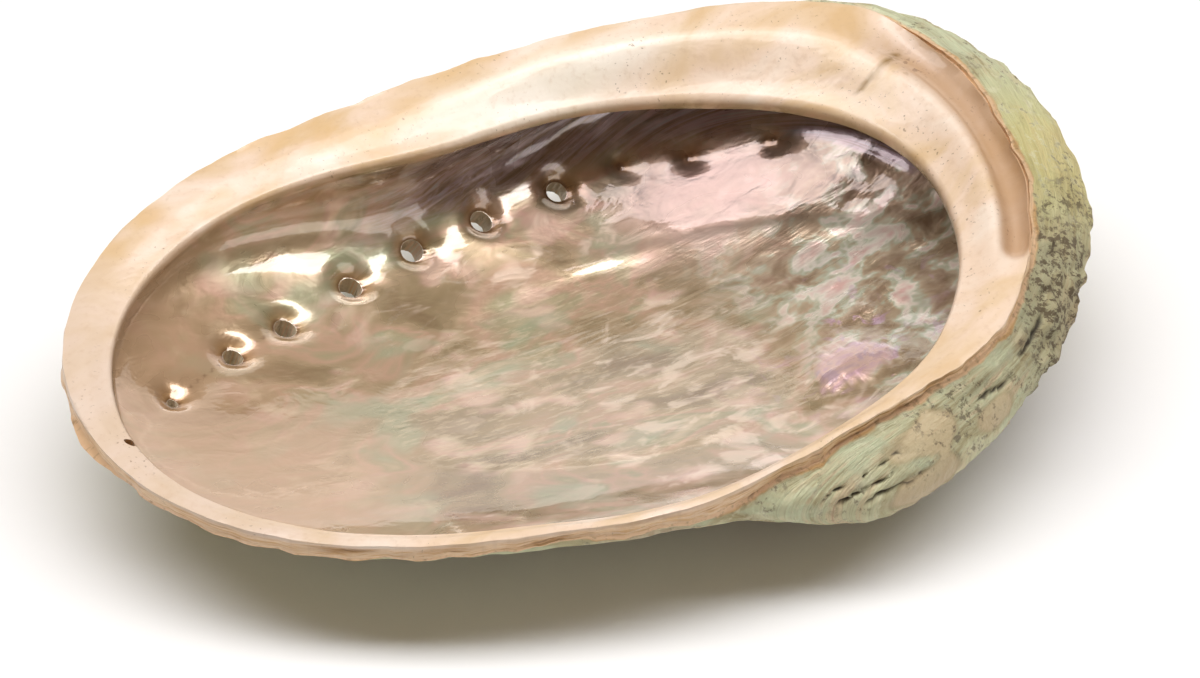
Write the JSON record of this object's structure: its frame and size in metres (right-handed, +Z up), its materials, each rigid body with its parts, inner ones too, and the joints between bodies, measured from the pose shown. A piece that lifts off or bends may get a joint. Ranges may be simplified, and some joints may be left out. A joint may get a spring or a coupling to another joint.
{
  "type": "abalone shell",
  "caption": "Ear-shaped sea shell lying on its dome with the open side up, a shelf along one side of the rim and a row of breathing holes.",
  "frame": {"origin": "centre of the shell's footprint box, on the surface it rests on", "axes": "+X towards the spire end, +Y towards the shelf side, +Z up, as the shell lies on its dome with the mouth up"},
  "size_m": [0.1744, 0.1194, 0.0404],
  "materials": {
    "shell": "pearly, polished inside, dull outside"
  },
  "bodies": {
    "root": {"shell": "shell"}
  },
  "joints": []
}
